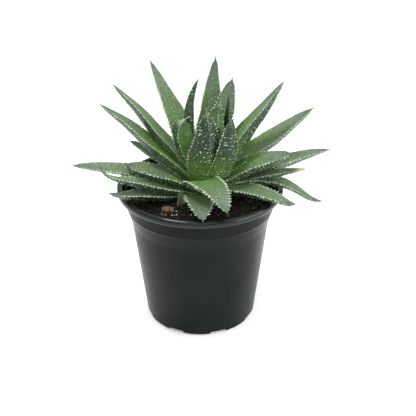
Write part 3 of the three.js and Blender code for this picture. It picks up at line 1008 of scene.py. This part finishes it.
@dataclass
class Soil:
    """The peat: a lumpy top over a plain body, with loose crumbs, moss, bark flakes and white grains."""

    level: float = SOIL_LEVEL
    crown: float = SOIL_CROWN
    radius: float = 44.6
    crumbs: int = 1500
    grains: int = 26
    seed: int = 11

    def _top(self, x: np.ndarray, y: np.ndarray, rng: np.random.Generator) -> np.ndarray:
        """Height of the peat: a low crown that falls with the square of the radius, plus seeded lumps."""
        r = np.hypot(x, y) / self.radius
        place = np.stack([x, y], -1)
        lumps = 0.75 * waves(place, rng, 14.0, 2) + 0.35 * waves(place, rng, 3.2, 3)
        return self.level + self.crown * (1 - r**2) + lumps * smooth_step(1.02, 0.9, r) - 0.6 * r**8

    def _body(self) -> bpy.types.Object:
        """Makes the peat as rings of points from the bottom up and in over the top."""
        sides, steps = 220, 70
        angle = 2 * math.pi * np.arange(sides) / sides
        wall = np.array([(30.0, 2.1), (34.0, 2.3), (34.3, 3.0), (42.0, 68.6), (44.5, 78.2), (44.7, 84.6)])
        rings = [np.stack([r * np.cos(angle), r * np.sin(angle), np.full(sides, z)], -1) for r, z in wall]
        for r in np.linspace(self.radius, 0.6, steps):
            x, y = r * np.cos(angle), r * np.sin(angle)
            rings.append(np.stack([x, y, self._top(x, y, np.random.default_rng(self.seed))], -1))
        rings = np.array(rings)
        points, faces = closed_skin(rings, np.array([0, 0, wall[0, 1]]), rings[-1].mean(0))
        return one_skin("peat", points, faces, PeatMix().build())

    def _scatter(self, rng: np.random.Generator, count: int, low: float, high: float,
                 squash: float, spot: tuple[float, float, float]) -> tuple[np.ndarray, list[np.ndarray]]:
        """Small rough lumps on the peat: five-sided blocks with knocked corners, joined as one.

        Args:
            rng: source of the places and shapes.
            count: number of lumps.
            low: smallest half-size.
            high: largest half-size.
            squash: height as a share of width.
            spot: middle (x, y) and radius of the round patch they lie in.

        Returns:
            The points and the face blocks.
        """
        r = spot[2] * np.sqrt(rng.random(count))
        turn = rng.uniform(0, 2 * math.pi, count)
        x, y = spot[0] + r * np.cos(turn), spot[1] + r * np.sin(turn)
        z = self._top(x, y, np.random.default_rng(self.seed))
        size = low + (high - low) * rng.random(count) ** 2
        sides = 5
        ring = rng.uniform(0, 2 * math.pi, (count, 1)) + np.arange(sides) * 2 * math.pi / sides
        knock = rng.uniform(0.6, 1.25, (count, 2, sides))
        centre = np.stack([x, y, z + size * squash * 0.35], -1)
        loops = []
        for level, (twist, share, lift) in enumerate(((0.0, 1.0, -0.45), (0.5, 0.75, 0.5))):
            reach = knock[:, level] * share
            loops.append(np.stack([np.cos(ring + twist) * reach, np.sin(ring + twist) * reach,
                                   np.full_like(ring, lift * squash)], -1))
        block = np.concatenate(loops, 1) * size[:, None, None] + centre[:, None]
        base = (np.arange(count) * 2 * sides)[:, None]
        k = np.arange(sides)[None]
        n = (k + 1) % sides
        flanks = np.stack([base + k, base + n, base + sides + n, base + sides + k], -1).reshape(-1, 4)
        top = (base + sides + k).reshape(-1, sides)
        floor = (base + k[:, ::-1]).reshape(-1, sides)
        return block.reshape(-1, 3), [flanks, top, floor]

    def build(self) -> None:
        """Makes the peat and everything that lies loose on it."""
        body = self._body()
        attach(body, "root")
        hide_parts("potting_soil")
        LOG.info("%s: %d faces", body.name, len(body.data.polygons))
        rng = np.random.default_rng(self.seed + 1)
        # painted shade: the crumbs' own dark brown is darkened further, like the peat's
        crumb = PlainGrain("peat_crumb", (0.003, 0.0026, 0.0022), (0.026, 0.02, 0.014)).build()
        moss = PlainGrain("moss", (0.022, 0.03, 0.01), (0.085, 0.095, 0.04)).build()
        flake = PlainGrain("bark_flake", (0.012, 0.008, 0.006), (0.17, 0.11, 0.06), 700.0).build()
        white = PlainGrain("white_grain", (0.45, 0.44, 0.4), (0.75, 0.74, 0.7)).build()
        whole = (0.0, 0.0, self.radius * 0.97)
        for name, slot, material, patches in (
            ("peat_crumbs", "peat_mix", crumb, [(self.crumbs, 0.35, 1.6, 0.7, whole)]),
            ("moss_crumbs", "peat_mix", moss, [
                (170, 0.3, 0.85, 0.8, (31.5, -19.5, 8.0)), (40, 0.3, 0.8, 0.8, (-40.0, 1.5, 2.6))]),
            ("bark_flakes", "bark", flake, [(34, 0.35, 1.15, 0.6, (-19.5, -28.5, 5.6))]),
            ("perlite_grains", "perlite", white, [
                (self.grains, 0.4, 1.0, 0.8, whole), (8, 0.3, 0.75, 0.8, (-17.5, -30.0, 5.0))]),
        ):
            builder = MeshBuilder()
            for patch in patches:
                builder.add(*self._scatter(rng, *patch))
            piece = builder.build(name, [material])
            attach(piece, "root")
            LOG.info("%s: %d faces", name, len(piece.data.polygons))


@dataclass
class BarkChip:
    """A torn chip of bark, half sunk in the peat."""

    centre: tuple[float, float, float] = (-19.0, -28.5, 87.4)
    length: float = 7.6
    width: float = 5.0
    thickness: float = 3.2
    turn: float = -18.0
    seed: int = 5

    def build(self) -> None:
        """Makes the chip: a flattened, squared-off ball whose skin is torn into ridges along its length.

        Each ring is a superellipse of power 1.5 across the long axis; the ridges are waves ten times as
        long along the chip as across it.
        """
        rng = np.random.default_rng(self.seed)
        slope = np.linspace(-0.5, 0.5, 46)[1:-1] * math.pi
        sides = 56
        angle = 2 * math.pi * np.arange(sides) / sides
        span, turn = np.meshgrid(slope, angle, indexing="ij")
        girth = np.cos(span) ** 0.45
        x = np.sin(span) * self.length / 2
        y = girth * np.sign(np.cos(turn)) * np.abs(np.cos(turn)) ** 0.67 * self.width / 2
        z = girth * np.sign(np.sin(turn)) * np.abs(np.sin(turn)) ** 0.67 * self.thickness / 2
        torn = 1.0 + 0.2 * waves(np.stack([x * 0.1, y, z], -1), rng, 1.5, 3) + 0.2 * waves(
            np.stack([x, y, z], -1), rng, 5.0, 2)
        fray = smooth_step(0.55, 1.0, np.abs(np.sin(span)))
        ragged = x + 0.5 * waves(np.stack([y, z], -1), rng, 1.6, 2) * fray
        rings = np.stack([ragged, y * torn, z * torn], -1)
        points, faces = closed_skin(rings, rings[0].mean(0), rings[-1].mean(0))
        c, d = math.cos(math.radians(self.turn)), math.sin(math.radians(self.turn))
        points = points @ np.array([[c, d, 0.0], [-d, c, 0.0], [0.0, 0.0, 1.0]]) + np.array(self.centre)
        finish = PlainGrain("bark", (0.012, 0.008, 0.005), (0.2, 0.13, 0.07), 480.0)
        piece = one_skin("bark_piece", points, faces, finish.build())
        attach(piece, "root")
        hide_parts("bark_chip")
        LOG.info("%s: %d faces", piece.name, len(piece.data.polygons))


@dataclass
class RootHoop:
    """A dry root that comes out of the peat beside the wall, bends over and goes back in."""

    middle: tuple[float, float] = (-40.5, 1.0)
    reach: tuple[float, float] = (3.2, -1.6)
    foot: float = SOIL_LEVEL + 1.6
    rise: float = 2.4
    radius: float = 0.55
    seed: int = 8

    def build(self) -> None:
        """Makes the root: a wrinkled round section carried along the hoop.

        The hoop turns through 20 to 260 degrees: the cosine moves it across, the sine of 0.7 of the turn
        lifts it. The section swells and pinches along the way.
        """
        rng = np.random.default_rng(self.seed)
        steps = 72
        turn = np.radians(np.linspace(20.0, 260.0, steps))
        path = np.stack([self.middle[0] - self.reach[0] * np.cos(turn),
                         self.middle[1] - self.reach[1] * np.cos(turn),
                         self.foot + self.rise * np.sin(0.7 * turn)], -1)
        ahead = unit(np.gradient(path, axis=0))
        side = unit(np.cross(ahead, np.array([0.3, 1.0, 0.2])))
        up = np.cross(ahead, side)
        sides = 16
        angle = 2 * math.pi * np.arange(sides) / sides
        swell = 1.0 + 0.22 * waves(path, rng, 3.0, 3)
        wrinkle = 1.0 + 0.1 * np.sin(3 * angle + 2.0)[None] * np.sin(np.arange(steps) * 0.9)[:, None]
        size = (self.radius * swell)[:, None] * wrinkle
        rings = (path[:, None] + side[:, None] * (size * np.cos(angle))[..., None]
                 + up[:, None] * (size * np.sin(angle))[..., None])
        points, faces = closed_skin(rings, path[0], path[-1])
        finish = PlainGrain("dry_root", (0.26, 0.18, 0.155), (0.56, 0.45, 0.41))
        piece = one_skin("dry_root", points, faces, finish.build())
        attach(piece, "root")
        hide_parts("root_curl")
        LOG.info("%s: %d faces", piece.name, len(piece.data.polygons))


def dress_stem(node: bpy.types.Object) -> None:
    """Gives the stem's own solid its skin.

    Args:
        node: the frame's stem.
    """
    node.data.materials.clear()
    node.data.materials.append(PlainGrain("stem_skin", (0.12, 0.15, 0.05), (0.2, 0.24, 0.1), 500.0).build())
    LOG.info("stem dressed")


# ---------------------------------------------------------------- studio


@dataclass
class Studio:
    """Pale floor, soft lights and the camera."""

    eye: tuple[float, float, float] = (4.9, -450.0, 314.0)
    pitch_down: float = 28.1
    focal_mm: float = 68.97
    zenith: float = 1.1
    horizon: float = 0.42
    key: float = 8.0
    fill: float = 11.0
    front: float = 2.0
    aim_height: float = 0.1
    floor_reach: float = 4000.0
    floor_glow: float = 0.22

    def _sky(self, scene: bpy.types.Scene) -> None:
        """Makes a white surround that lights more from above and is plain white where it is seen."""
        world = bpy.data.worlds.new("studio_sky")
        world.use_nodes = True
        kit = NodeKit(world.node_tree)
        background = next(node for node in world.node_tree.nodes if node.type == "BACKGROUND")
        split = kit.node("ShaderNodeSeparateXYZ")
        kit.link(kit.node("ShaderNodeTexCoord").outputs["Generated"], split.inputs[0])
        glow = kit.span(split.outputs["Z"], -0.1, 1.0, self.horizon, self.zenith, smooth=False)
        seen = kit.node("ShaderNodeLightPath").outputs["Is Camera Ray"]
        level = kit.math("MAXIMUM", glow, seen)
        kit.link(level, background.inputs["Strength"])
        background.inputs["Color"].default_value = (1, 1, 1, 1)
        scene.world = world

    def _floor(self) -> None:
        """Makes a wide pale floor."""
        reach = self.floor_reach
        ground = np.array([(x, y, -0.2) for x, y in (
            (-reach, -reach), (reach, -reach), (reach, reach), (-reach, reach))])
        material, _, shader = new_material("floor_white")
        shader.inputs["Base Color"].default_value = (0.93, 0.93, 0.935, 1)
        shader.inputs["Roughness"].default_value = 0.9
        shader.inputs["Specular IOR Level"].default_value = 0.0
        shader.inputs["Emission Color"].default_value = (1, 1, 1, 1)
        shader.inputs["Emission Strength"].default_value = self.floor_glow
        one_skin("studio_floor", ground, [np.array([[0, 1, 2, 3]])], material)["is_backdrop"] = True

    def _softbox(self, name: str, place: tuple[float, float, float], size: float, power: float) -> None:
        """Adds a square area light that faces the plant.

        Args:
            name: name of the light.
            place: its place in metres.
            size: its side in metres.
            power: its power in watts.
        """
        data = bpy.data.lights.new(name, "AREA")
        data.size = size
        data.energy = power
        light = bpy.data.objects.new(name, data)
        light.location = place
        towards = Vector((0.0, 0.0, self.aim_height)) - Vector(place)
        light.rotation_euler = towards.to_track_quat("-Z", "Y").to_euler()
        bpy.context.scene.collection.objects.link(light)

    def build(self) -> None:
        """Makes the studio."""
        scene = bpy.context.scene
        scene.view_settings.view_transform = "Standard"
        self._floor()
        self._sky(scene)
        self._softbox("overhead_softbox", (-0.3, 0.12, 1.15), 0.26, self.key)
        self._softbox("side_softbox", (1.0, -0.35, 0.45), 1.0, self.fill)
        self._softbox("front_softbox", (-0.25, -1.1, 0.8), 1.0, self.front)
        data = bpy.data.cameras.new("camera")
        data.lens = self.focal_mm
        data.sensor_width = 36.0
        data.clip_start = 0.01
        data.clip_end = 50.0
        camera = bpy.data.objects.new("camera", data)
        camera.location = [c * MM for c in self.eye]
        camera.rotation_euler = (math.radians(90.0 - self.pitch_down), 0.0, 0.0)
        scene.collection.objects.link(camera)
        scene.camera = camera
        LOG.info("studio ready")


def corners(box: tuple) -> list[list[float]]:
    """A box as plain lists of numbers."""
    return [[float(c) for c in corner] for corner in box]


def main() -> None:
    """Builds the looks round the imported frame."""
    logging.basicConfig(level=logging.INFO, format="%(name)s: %(message)s")
    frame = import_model()
    cad_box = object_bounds()
    Studio().build()
    Pot().build()
    Soil().build()
    BarkChip().build()
    RootHoop().build()
    dress_stem(frame["nodes"]["stem"])
    Rosette().build()
    {"cad": corners(cad_box), "visual": corners(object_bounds())}


if __name__ == "__main__":
    main()
